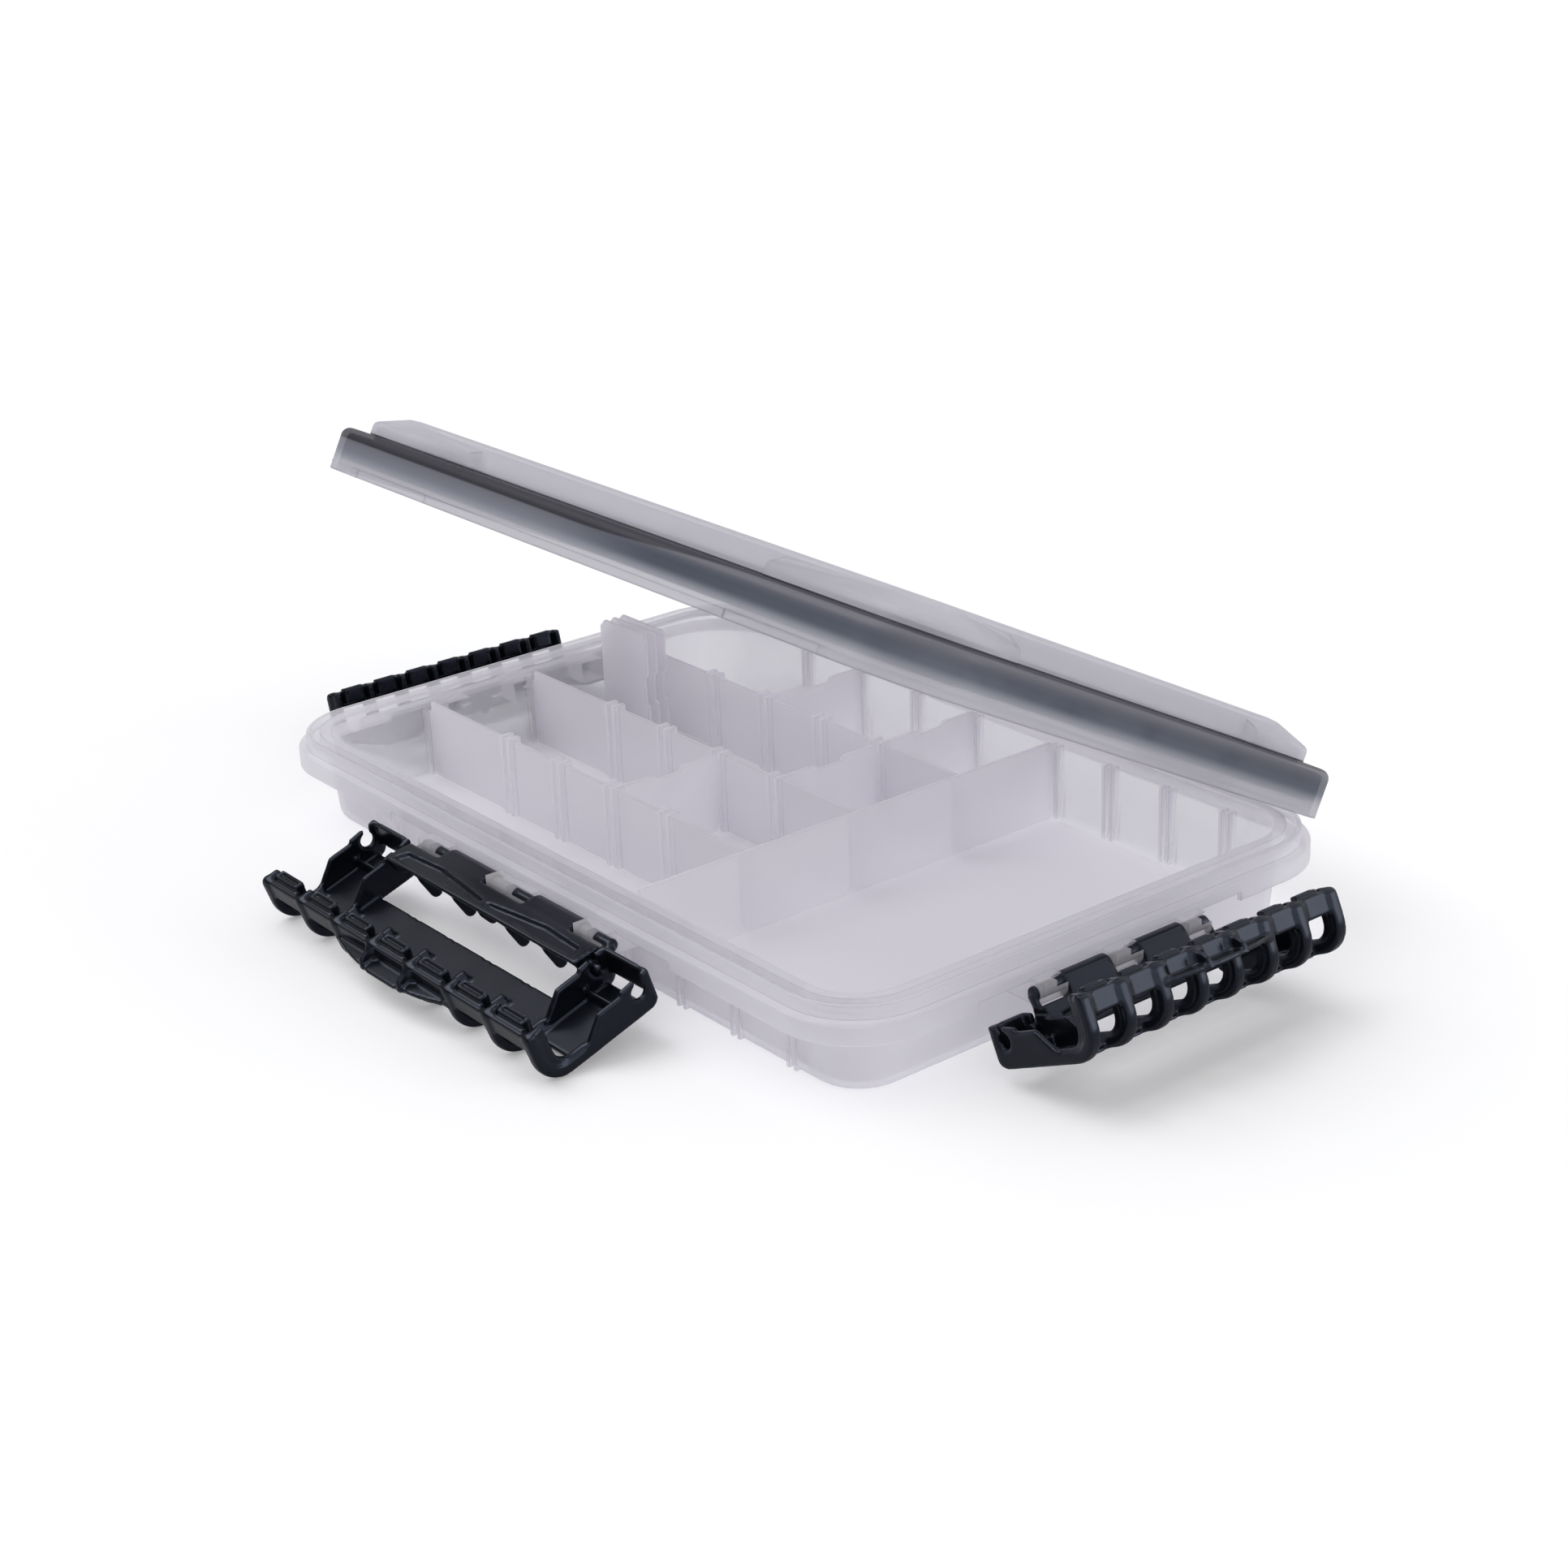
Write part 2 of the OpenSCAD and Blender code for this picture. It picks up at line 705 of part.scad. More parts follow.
module bay_wall() {
  half = wall_y - wall_gap;
  color(divider_pp) {
    translate([bay_x, 0, 0])
      rotate([90, 0, 90])
        linear_extrude(divider_t, center = true)
          for (s = [0, 1])
            mirror([s, 0])
              polygon([[-0.01, divider_z], [half - foot_cut, divider_z], [half, divider_z + foot_cut],
                [half, divider_top - step_h], [half - step_w, divider_top - step_h],
                [half - step_w, divider_top], [-0.01, divider_top]]);
    // slot ribs for the long dividers, on the channels' side
    for (i = [-1:1], s = [-1, 1])
      translate([bay_x - divider_t / 2 - slot_rib_d, 0, divider_z])
        translate([0, i * channel + s * (slot_w + slot_rib_w) / 2 - slot_rib_w / 2, 0])
          cube([slot_rib_d + 0.2, slot_rib_w, divider_top - divider_z - 2]);
  }
}

// a short divider, centred on x = 0 and y = 0, standing on z = 0
module cross_plate() {
  h = divider_top - divider_z;
  w = cross_w / 2;
  notch_w = 7;
  rotate([90, 0, 90])
    linear_extrude(divider_t, center = true)
      polygon([[-w + foot_cut, 0], [w - foot_cut, 0], [w, foot_cut], [w, h - 1], [w - 1, h],
        [notch_w, h], [notch_w - 1.5, h - 2], [1.5 - notch_w, h - 2], [-notch_w, h],
        [1 - w, h], [-w, h - 1], [-w, foot_cut]]);
}

module cross_divider(x, row) {
  color(divider_pp)
    translate([x, (row + 0.5) * channel, divider_z])
      cross_plate();
}

// a spare divider that stands on its short edge along the third channel
module spare_divider(y) {
  h = divider_top - divider_z;
  color(divider_pp)
    translate([-wall_x + spare_gap + h / 2, y, divider_z + cross_w / 2])
      rotate([0, 0, 90])
        rotate([90, 0, 0])
          translate([0, 0, -h / 2])
            cross_plate();
}

tray();
lid();
lid_seal();
hinge_pin(-hinge_x);  // hinge_pin_left
hinge_pin(hinge_x);  // hinge_pin_right
link("front", front_link_angle, front_link_half, front_lugs, front_gussets);  // front_link
handle("front", front_link_angle, front_handle_angle, front_half, front_link_half);  // front_handle
link("left", left_link_angle, end_link_half, end_lugs, end_gussets);  // left_link
handle("left", left_link_angle, left_handle_angle, end_half, end_link_half);  // left_handle
link("right", right_link_angle, end_link_half, end_lugs, end_gussets);  // right_link
handle("right", right_link_angle, right_handle_angle, end_half, end_link_half);  // right_handle
long_divider(-channel);  // long_divider_front
long_divider(0);  // long_divider_middle
long_divider(channel);  // long_divider_rear
bay_wall();
cross_divider(slots[2], -1);  // cross_divider_1
cross_divider(slots[3], 0);  // cross_divider_2
cross_divider(slots[1], 1);  // cross_divider_3
cross_divider(slots[3], 1);  // cross_divider_4
spare_divider(spare_rows[0] * channel);  // spare_divider_1
spare_divider(spare_rows[1] * channel);  // spare_divider_2
spare_divider(spare_rows[2] * channel);  // spare_divider_3
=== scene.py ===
# Fishing tackle box: a translucent tray and lid with black hook latches.
import json
from math import radians

import bmesh
import bpy
from mathutils import Matrix, Vector


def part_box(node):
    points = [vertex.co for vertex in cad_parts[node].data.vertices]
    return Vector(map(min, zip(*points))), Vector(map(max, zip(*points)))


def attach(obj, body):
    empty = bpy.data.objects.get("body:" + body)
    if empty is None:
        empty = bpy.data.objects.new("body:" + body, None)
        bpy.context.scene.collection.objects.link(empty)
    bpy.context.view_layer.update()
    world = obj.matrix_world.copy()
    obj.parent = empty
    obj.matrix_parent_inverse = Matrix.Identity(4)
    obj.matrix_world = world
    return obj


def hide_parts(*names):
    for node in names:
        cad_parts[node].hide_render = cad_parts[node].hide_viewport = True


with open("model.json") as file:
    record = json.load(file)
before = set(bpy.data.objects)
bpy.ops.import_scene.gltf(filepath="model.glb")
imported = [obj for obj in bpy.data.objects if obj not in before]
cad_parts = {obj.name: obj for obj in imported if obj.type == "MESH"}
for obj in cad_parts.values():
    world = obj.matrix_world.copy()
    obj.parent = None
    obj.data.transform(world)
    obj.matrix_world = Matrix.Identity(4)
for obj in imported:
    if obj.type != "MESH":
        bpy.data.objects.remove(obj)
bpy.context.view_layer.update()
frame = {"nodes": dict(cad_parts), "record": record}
nodes = frame["nodes"]
behaviour = frame["record"]["behaviour"]
scene = bpy.context.scene
mm = 0.001

cameraView = {
    "place": (0.7895, -0.6106, 0.4456),
    "azimuth": 52.12,     # degrees from the front of the box towards its right end
    "elevation": 22.53,
    "roll": -2.38,
    "lens": 65.71,
    "sensor": 36,
    "nearest": 10 * mm,
}


def addCamera(p):
    data = bpy.data.cameras.new("camera")
    data.lens = p["lens"]
    data.sensor_width = p["sensor"]
    data.clip_start = p["nearest"]
    camera = bpy.data.objects.new("camera", data)
    scene.collection.objects.link(camera)
    turn = (
        Matrix.Rotation(radians(p["azimuth"]), 4, "Z")
        @ Matrix.Rotation(radians(90 - p["elevation"]), 4, "X")
        @ Matrix.Rotation(radians(p["roll"]), 4, "Z")
    )
    camera.matrix_world = Matrix.Translation(p["place"]) @ turn
    scene.camera = camera


addCamera(cameraView)
print("camera placed")


# sRGB hex to the linear colour that a shader takes
def linear(hexColour):
    out = []
    for i in (1, 3, 5):
        v = int(hexColour[i:i + 2], 16) / 255
        out.append(v / 12.92 if v <= 0.04045 else ((v + 0.055) / 1.055) ** 2.4)
    return (*out, 1)


def dimmed(colour, share):
    return (*[c * share for c in colour[:3]], 1)


# An input is named by its label or its number, and any other setting is a
# property of the node.
def addNode(tree, kind, settings=None, links=None):
    node = tree.nodes.new(kind)
    for key, value in (settings or {}).items():
        if isinstance(key, int) or key in node.inputs:
            node.inputs[key].default_value = value
        else:
            setattr(node, key, value)
    for key, source in (links or {}).items():
        tree.links.new(source, node.inputs[key])
    return node


def newMaterial(name):
    material = bpy.data.materials.new(name)
    material.use_nodes = True
    tree = material.node_tree
    tree.nodes.clear()
    return material, tree


# Moulded polypropylene, uncoloured: a milky lilac-grey body that lets light
# in, shows what lies close behind it, and has a soft satin skin.
polypropylene = {
    "body": "#DEDCE1",
    "flowDim": 0.93,       # how much darker the flow marks get
    "glow": "#EDEBF0",
    "edge": "#84838F",     # painted shade along edges and corners, where the rounded normal turns away
    "edgeShade": 0.8,
    "edgeFlat": 0.995,     # cosine between the rounded normal and the true one: no shade at this
    "edgeTurned": 0.8,     # and full shade at this
    "facingBlend": 0.35,
    "lightThrough": 0.95,  # the share of a lamp's light that one skin lets through
    "throughTint": (0.98, 0.98, 0.985, 1),
    "rough": (0.24, 0.4),
    "ior": 1.49,
    "flow": 71.4 * mm,     # flow marks of the moulding
    "grain": 2.38 * mm,    # fine haze, coarser than the real one so that it shows
    "grainStrength": 0.06,
    "grainDepth": 0.2 * mm,
}


# paints shade: darkens the colour along edges and corners, where the rounded normal leaves the surface's own
def addEdgeShade(tree, rounded, colour, p):
    surface = addNode(tree, "ShaderNodeNewGeometry")
    along = addNode(tree, "ShaderNodeVectorMath", {"operation": "DOT_PRODUCT"}, {
        0: rounded.outputs["Normal"], 1: surface.outputs["Normal"]})
    share = addNode(tree, "ShaderNodeMapRange", {
        "From Min": p["edgeFlat"], "From Max": p["edgeTurned"], "To Max": p["edgeShade"]}, {
        "Value": along.outputs["Value"]})
    shaded = addNode(tree, "ShaderNodeMix", {"data_type": "RGBA", 7: linear(p["edge"])}, {
        0: share.outputs["Result"], 6: colour})
    return shaded.outputs[2]


# The lugs outside the flange are solid and as clear from the side as from
# the front.
latchLugs = {"beyondX": 180.3 * mm, "beyondY": 116.8 * mm, "clear": 0.55}


# sets the clear share outside the flange's outline
def addClearLugs(tree, place, clearShare, p):
    split = addNode(tree, "ShaderNodeSeparateXYZ", links={"Vector": place.outputs["Object"]})
    ends = addNode(tree, "ShaderNodeMath", {"operation": "ABSOLUTE"}, {0: split.outputs["X"]})
    pastEnd = addNode(tree, "ShaderNodeMath", {"operation": "GREATER_THAN", 1: p["beyondX"]}, {
        0: ends.outputs[0]})
    pastFront = addNode(tree, "ShaderNodeMath", {"operation": "LESS_THAN", 1: -p["beyondY"]}, {
        0: split.outputs["Y"]})
    either = addNode(tree, "ShaderNodeMath", {"operation": "MAXIMUM"}, {
        0: pastEnd.outputs[0], 1: pastFront.outputs[0]})
    share = addNode(tree, "ShaderNodeMix", {"data_type": "FLOAT", 3: p["clear"]}, {
        0: either.outputs[0], 2: clearShare})
    return share.outputs[0]


# The lid's skirt over the seal: the rubber is moulded against it, so the skin there shows the rubber and
# turns milky below it.
# The band's colour is painted on: the seal's grey, a stripe of painted shade under the shoulder with a
# painted highlight below it at the right end, and a soft painted shade at the bead towards the right. Heights
# are those of the closed box.
skirtOverSeal = {
    "milkyBelow": 35.2 * mm,
    "clearAbove": 41.4 * mm,
    "shoulder": 50.2 * mm,
    "clear": 0.25,
    "dark": "#4B4A54",        # painted shade: a dark stripe under the shoulder
    "pale": "#8B8A95",        # on either side of the stripe; at the right end, under the shoulder, it stands as a painted highlight
    "blue": "#A0A7B4",        # towards the lower edge
    "blueBelow": 38.5 * mm,
    "paleAbove": 45.5 * mm,
    "shadeStripe": (2.4 * mm, 3.2 * mm),   # the painted shade stripe's half width, where it begins to fade and where it ends
    "shadeStripeLeft": 48.0 * mm,  # its height at the left end and at the right end
    "shadeStripeRight": 51.6 * mm,
    "shadeStripeTurn": (0, 100 * mm),      # it passes from one to the other between these places along X
    "bead": 42.8 * mm,        # the height of the bead inside, where a soft painted shade lies, towards the right
    "beadReach": (5.6 * mm, 1 * mm),
    # the colour of the soft painted shade
    "beadShadeColour": "#606878",
    "beadTurn": (-30 * mm, 50 * mm),
    "beadShadeShare": (0.6, 0.95),
    "shadeStreaks": (143 * mm, 33.3 * mm),  # streaks in how strong the painted shade is: their length and height
    "shadeStreakLevels": (0.38, 0.62),
}


def jointOf(body):
    return next(j for j in behaviour["joints"] if j["child"] == body)


# takes a point of the lid to its place when the lid is closed
def closedLid():
    joint = jointOf("lid")
    hinge = Vector(joint["pos_m"])
    closing = joint["range_deg"][0]
    turn = Matrix.Rotation(radians(closing), 4, Vector(joint["axis"]))
    return Matrix.Translation(hinge) @ turn @ Matrix.Translation(-hinge)


# a smooth share of 1 at the height given and 0 from reach away from it
def addNearHeight(tree, z, height, reach, full):
    above = addNode(tree, "ShaderNodeMath", {"operation": "SUBTRACT"}, {0: z})
    if isinstance(height, float):
        above.inputs[1].default_value = height
    else:
        tree.links.new(height, above.inputs[1])
    away = addNode(tree, "ShaderNodeMath", {"operation": "ABSOLUTE"}, {0: above.outputs[0]})
    near = addNode(tree, "ShaderNodeMapRange", {
        "interpolation_type": "SMOOTHSTEP", "From Min": reach, "From Max": full}, {
        "Value": away.outputs[0]})
    return near.outputs["Result"]


# 1 on the skirt over the seal and 0 elsewhere on the lid, with the band's painted colour: the seal's grey,
# painted shade and a painted highlight
def addPaintedSealBand(tree, place, p):
    toClosed = closedLid()
    closed = addNode(tree, "ShaderNodeMapping", {
        "Rotation": toClosed.to_euler(), "Location": toClosed.translation}, {
        "Vector": place.outputs["Object"]})
    split = addNode(tree, "ShaderNodeSeparateXYZ", links={"Vector": closed.outputs["Vector"]})
    rise = addNode(tree, "ShaderNodeMapRange", {
        "interpolation_type": "SMOOTHSTEP", "From Min": p["milkyBelow"], "From Max": p["clearAbove"]}, {
        "Value": split.outputs["Z"]})
    below = addNode(tree, "ShaderNodeMath", {"operation": "LESS_THAN", 1: p["shoulder"]}, {
        0: split.outputs["Z"]})
    both = addNode(tree, "ShaderNodeMath", {"operation": "MULTIPLY"}, {
        0: rise.outputs["Result"], 1: below.outputs[0]})
    low = addNode(tree, "ShaderNodeMapRange", {"From Min": p["paleAbove"], "From Max": p["blueBelow"]}, {
        "Value": split.outputs["Z"]})
    tone = addNode(tree, "ShaderNodeMix", {
        "data_type": "RGBA", 6: linear(p["pale"]), 7: linear(p["blue"])}, {0: low.outputs["Result"]})

    # a soft painted shade at the bead, in streaks, towards the right end
    rightwards = addNode(tree, "ShaderNodeMapRange", {
        "interpolation_type": "SMOOTHSTEP", "From Min": p["beadTurn"][0], "From Max": p["beadTurn"][1]}, {
        "Value": split.outputs["X"]})
    nearBead = addNearHeight(tree, split.outputs["Z"], p["bead"], *p["beadReach"])
    beadShadeShare = addNode(tree, "ShaderNodeMath", {"operation": "MULTIPLY"}, {
        0: nearBead, 1: rightwards.outputs["Result"]})
    long, high = p["shadeStreaks"]
    stretched = addNode(tree, "ShaderNodeMapping", {"Scale": (1 / long, 1 / high, 1 / high)}, {
        "Vector": closed.outputs["Vector"]})
    shadeStreak = addNode(tree, "ShaderNodeTexNoise", {"Scale": 1.0, "Detail": 3.0}, {
        "Vector": stretched.outputs["Vector"]})
    streakStrength = addNode(tree, "ShaderNodeMapRange", {
        "From Min": p["shadeStreakLevels"][0], "From Max": p["shadeStreakLevels"][1],
        "To Min": p["beadShadeShare"][0], "To Max": p["beadShadeShare"][1]}, {
        "Value": shadeStreak.outputs["Fac"]})
    beadShade = addNode(tree, "ShaderNodeMath", {"operation": "MULTIPLY"}, {
        0: beadShadeShare.outputs[0], 1: streakStrength.outputs["Result"]})
    withBeadShade = addNode(tree, "ShaderNodeMix", {"data_type": "RGBA", 7: linear(p["beadShadeColour"])}, {
        0: beadShade.outputs[0], 6: tone.outputs[2]})

    # a stripe of painted shade, rising towards the right end, where the lighter tone under the shoulder
    # stands as a painted highlight
    height = addNode(tree, "ShaderNodeMapRange", {
        "interpolation_type": "SMOOTHSTEP", "From Min": p["shadeStripeTurn"][0], "From Max": p["shadeStripeTurn"][1],
        "To Min": p["shadeStripeLeft"], "To Max": p["shadeStripeRight"]}, {"Value": split.outputs["X"]})
    fading, ended = p["shadeStripe"]
    shadeStripe = addNearHeight(tree, split.outputs["Z"], height.outputs["Result"], ended, fading)
    seal = addNode(tree, "ShaderNodeMix", {"data_type": "RGBA", 7: linear(p["dark"])}, {
        0: shadeStripe, 6: withBeadShade.outputs[2]})
    return both.outputs[0], seal.outputs[2]


# clear is the share of light that passes straight through one skin, and edge
# the same where the skin is seen edge-on
def makePolypropylene(name, clear, edge, body=None, edgeRadius=0.7 * mm, glowShare=0.4, seal=None, lugs=None):
    p = polypropylene
    bodyColour = linear(body or p["body"])
    material, tree = newMaterial(name)
    place = addNode(tree, "ShaderNodeTexCoord")
    flow = addNode(tree, "ShaderNodeTexNoise", {"Scale": 1 / p["flow"], "Detail": 3.0}, {
        "Vector": place.outputs["Object"]})
    milk = addNode(tree, "ShaderNodeMix", {
        "data_type": "RGBA", 6: bodyColour, 7: dimmed(bodyColour, p["flowDim"])}, {0: flow.outputs["Fac"]})
    rounded = addNode(tree, "ShaderNodeBevel", {"samples": 4, "Radius": edgeRadius})
    # painted shade along the edges
    colour = addEdgeShade(tree, rounded, milk.outputs[2], p)
    glow = addNode(tree, "ShaderNodeBsdfTranslucent", {"Color": linear(p["glow"])})

    facing = addNode(tree, "ShaderNodeLayerWeight", {"Blend": p["facingBlend"]})
    share = addNode(tree, "ShaderNodeMapRange", {"To Min": clear, "To Max": edge}, {
        "Value": facing.outputs["Facing"]})
    rays = addNode(tree, "ShaderNodeLightPath")
    lit = addNode(tree, "ShaderNodeMath", {"operation": "MULTIPLY", 1: p["lightThrough"]}, {
        0: rays.outputs["Is Shadow Ray"]})
    most = addNode(tree, "ShaderNodeMath", {"operation": "MAXIMUM"}, {
        0: share.outputs["Result"], 1: lit.outputs[0]})
    clearShare = most.outputs[0]
    if lugs:
        clearShare = addClearLugs(tree, place, clearShare, lugs)
    if seal:
        # the band's painted seal colour, painted shade and painted highlight take the place of the milky
        # colour
        onSealBand, paintedSealColour = addPaintedSealBand(tree, place, seal)
        overSeal = addNode(tree, "ShaderNodeMix", {"data_type": "RGBA"}, {
            0: onSealBand, 6: colour, 7: paintedSealColour})
        colour = overSeal.outputs[2]
        tree.links.new(colour, glow.inputs["Color"])
        wet = addNode(tree, "ShaderNodeMix", {"data_type": "FLOAT", 3: seal["clear"]}, {
            0: onSealBand, 2: clearShare})
        clearShare = wet.outputs[0]

    rough = addNode(tree, "ShaderNodeMapRange", {"To Min": p["rough"][0], "To Max": p["rough"][1]}, {
        "Value": flow.outputs["Fac"]})
    grain = addNode(tree, "ShaderNodeTexNoise", {"Scale": 1 / p["grain"], "Detail": 2.0}, {
        "Vector": place.outputs["Object"]})
    bump = addNode(tree, "ShaderNodeBump", {"Strength": p["grainStrength"], "Distance": p["grainDepth"]}, {
        "Height": grain.outputs["Fac"], "Normal": rounded.outputs["Normal"]})
    skin = addNode(tree, "ShaderNodeBsdfPrincipled", {"IOR": p["ior"]}, {
        "Base Color": colour, "Roughness": rough.outputs["Result"], "Normal": bump.outputs["Normal"]})
    milky = addNode(tree, "ShaderNodeMixShader", {"Fac": glowShare}, {1: skin.outputs[0], 2: glow.outputs[0]})
    through = addNode(tree, "ShaderNodeBsdfTransparent", {"Color": p["throughTint"]})
    seen = addNode(tree, "ShaderNodeMixShader", links={
        0: clearShare, 1: milky.outputs[0], 2: through.outputs[0]})
    addNode(tree, "ShaderNodeOutputMaterial", links={"Surface": seen.outputs[0]})
    return material


# Black ABS, moulded in a polished tool: deep, slightly blue black, with a
# semi-gloss skin that breaks up a little where fingers touch it.
latchAbs = {
    "dark": "#080A0E",
    "worn": "#0F1117",
    "sheen": "#C6D2F0",
    "shine": 0.42,
    "ior": 1.54,
    "rough": (0.14, 0.32),
    "wear": 22.2 * mm,    # touched patches
    "grain": 1.11 * mm,   # the tool's polish, coarser than the real one so that it shows
    "grainStrength": 0.05,
    "grainDepth": 0.1 * mm,
}


def makeLatchAbs(p):
    material, tree = newMaterial("black moulded ABS")
    place = addNode(tree, "ShaderNodeTexCoord")
    cloud = addNode(tree, "ShaderNodeTexNoise", {"Scale": 1 / p["wear"], "Detail": 4.0}, {
        "Vector": place.outputs["Object"]})
    tint = addNode(tree, "ShaderNodeMix", {
        "data_type": "RGBA", 6: linear(p["dark"]), 7: linear(p["worn"])}, {0: cloud.outputs["Fac"]})
    rough = addNode(tree, "ShaderNodeMapRange", {"To Min": p["rough"][0], "To Max": p["rough"][1]}, {
        "Value": cloud.outputs["Fac"]})
    grain = addNode(tree, "ShaderNodeTexNoise", {"Scale": 1 / p["grain"], "Detail": 2.0}, {
        "Vector": place.outputs["Object"]})
    bump = addNode(tree, "ShaderNodeBump", {"Strength": p["grainStrength"], "Distance": p["grainDepth"]}, {
        "Height": grain.outputs["Fac"]})
    skin = addNode(tree, "ShaderNodeBsdfPrincipled", {
        "IOR": p["ior"], "Specular IOR Level": p["shine"], "Specular Tint": linear(p["sheen"])}, {
        "Base Color": tint.outputs[2],
        "Roughness": rough.outputs["Result"],
        "Normal": bump.outputs["Normal"],
    })
    addNode(tree, "ShaderNodeOutputMaterial", links={"Surface": skin.outputs[0]})
    return material


# Thermoplastic rubber, moulded into the lid: dark grey and matt.
sealRubber = {
    "dark": "#2A2B33",
    "light": "#393A44",
    "ior": 1.5,
    "rough": 0.62,
    "cloud": 16.7 * mm,   # patches of the uneven matt skin
    "bumpStrength": 0.1,
    "bumpDepth": 0.2 * mm,
}


def makeSealRubber(p):
    material, tree = newMaterial("dark grey thermoplastic rubber")
    place = addNode(tree, "ShaderNodeTexCoord")
    cloud = addNode(tree, "ShaderNodeTexNoise", {"Scale": 1 / p["cloud"], "Detail": 5.0}, {
        "Vector": place.outputs["Object"]})
    tint = addNode(tree, "ShaderNodeMix", {
        "data_type": "RGBA", 6: linear(p["dark"]), 7: linear(p["light"])}, {0: cloud.outputs["Fac"]})
    bump = addNode(tree, "ShaderNodeBump", {"Strength": p["bumpStrength"], "Distance": p["bumpDepth"]}, {
        "Height": cloud.outputs["Fac"]})
    skin = addNode(tree, "ShaderNodeBsdfPrincipled", {"IOR": p["ior"], "Roughness": p["rough"]}, {
        "Base Color": tint.outputs[2], "Normal": bump.outputs["Normal"]})
    addNode(tree, "ShaderNodeOutputMaterial", links={"Surface": skin.outputs[0]})
    return material


# Drawn stainless wire: bright, with fine lines along the pin, given by their
# length and the space between them.
pinSteel = {"colour": "#B9BBBF", "lines": (50 * mm, 0.667 * mm), "rough": (0.22, 0.42)}


def makePinSteel(p):
    material, tree = newMaterial("drawn stainless wire")
    place = addNode(tree, "ShaderNodeTexCoord")
    long, apart = p["lines"]
    stretch = addNode(tree, "ShaderNodeMapping", {"Scale": (1 / long, 1 / apart, 1 / apart)}, {
        "Vector": place.outputs["Object"]})
    lines = addNode(tree, "ShaderNodeTexNoise", {"Scale": 1.0, "Detail": 2.0}, {
        "Vector": stretch.outputs["Vector"]})
    rough = addNode(tree, "ShaderNodeMapRange", {"To Min": p["rough"][0], "To Max": p["rough"][1]}, {
        "Value": lines.outputs["Fac"]})
    skin = addNode(tree, "ShaderNodeBsdfPrincipled", {"Metallic": 1.0, "Base Color": linear(p["colour"])}, {
        "Roughness": rough.outputs["Result"]})
    addNode(tree, "ShaderNodeOutputMaterial", links={"Surface": skin.outputs[0]})
    return material


trayPp = makePolypropylene("milky polypropylene, tray", clear=0.6, edge=0.2, lugs=latchLugs)
# The lid's body is the same polypropylene painted darker, as painted shade, and its rounded edges and painted
# edge shade reach further.
lidPpShadedCopy = makePolypropylene("milky polypropylene, lid", clear=0.52, edge=0.2, body="#D2D0D8",
                          edgeRadius=1.5 * mm, seal=skirtOverSeal)
# The dividers' body is the same polypropylene painted lighter, as painted light, so that they read bright
# inside the shaded box.
dividerPpLitCopy = makePolypropylene("milky polypropylene, dividers", clear=0.4, edge=0.2, body="#F2F0F4",
                              glowShare=0.5)
black = makeLatchAbs(latchAbs)
rubber = makeSealRubber(sealRubber)
steel = makePinSteel(pinSteel)
print("materials made")


def bodyOf(node):
    for name, members in behaviour["bodies"].items():
        if node in members:
            return name


# How a copy of a CAD node loses its doubled corners and its flat faces' triangles.
cleaning = {"distance": 0.002 * mm, "angle": 0.6}


def cleanCopy(node, p):
    bm = bmesh.new()
    bm.from_mesh(nodes[node].data)
    bmesh.ops.remove_doubles(bm, verts=bm.verts, dist=p["distance"])
    bmesh.ops.dissolve_degenerate(bm, dist=p["distance"], edges=bm.edges)
    bmesh.ops.dissolve_limit(bm, angle_limit=radians(p["angle"]), verts=bm.verts, edges=bm.edges)
    return bm


def meshObject(bm, name):
    mesh = bpy.data.meshes.new(name)
    bm.to_mesh(mesh)
    bm.free()
    piece = bpy.data.objects.new(name, mesh)
    scene.collection.objects.link(piece)
    return piece


def shadeSmooth(piece):
    for face in piece.data.polygons:
        face.use_smooth = True


def finishPiece(piece, node, material):
    piece.data.materials.clear()
    piece.data.materials.append(material)
    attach(piece, bodyOf(node))
    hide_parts(node)
    return piece


# The latch parts are thick mouldings with every corner rounded: the copy is
# remeshed finely, then smoothed, most of all along the edges of the grip's ribs.
latchSkin = {
    "voxel": 0.55 * mm,
    "smoothing": 3,
    "ribs": 8,
    "ribWidth": 4.6 * mm,
    "ribSmoothing": 9,
    "ribReach": 1.3 * mm,
}
# Rims on the hooks between the ribs. u runs outward along the handle, and v
# towards the box when the latch is closed.
hookRim = {"u": (36.2 * mm, 40.0 * mm), "low": 11.4 * mm, "wall": 1.2 * mm, "share": 0.6}
# each handle's turn about the box's Z, its angle above the horizontal, and the
# height of its rims
handles = {
    "front": {"turn": -90, "raised": -19, "rimTop": 14.3 * mm},
    "left": {"turn": 180, "raised": -15, "rimTop": 13.4 * mm},
    "right": {"turn": 0, "raised": 24.5, "rimTop": 13.4 * mm},
}


# the middles of a handle's ribs, the spacing, and the axis that they run along
def ribRow(node, p):
    axis = 0 if node.startswith("front") else 1
    low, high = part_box(node)
    start, end = low[axis], high[axis]
    pitch = (end - start - p["ribWidth"]) / (p["ribs"] - 1)
    return [start + p["ribWidth"] / 2 + i * pitch for i in range(p["ribs"])], pitch, axis


def addBlock(bm, place, low, high):
    size = Vector(high) - Vector(low)
    middle = (Vector(high) + Vector(low)) / 2
    bmesh.ops.create_cube(bm, size=1, matrix=place @ Matrix.Translation(middle) @ Matrix.Diagonal((*size, 1)))


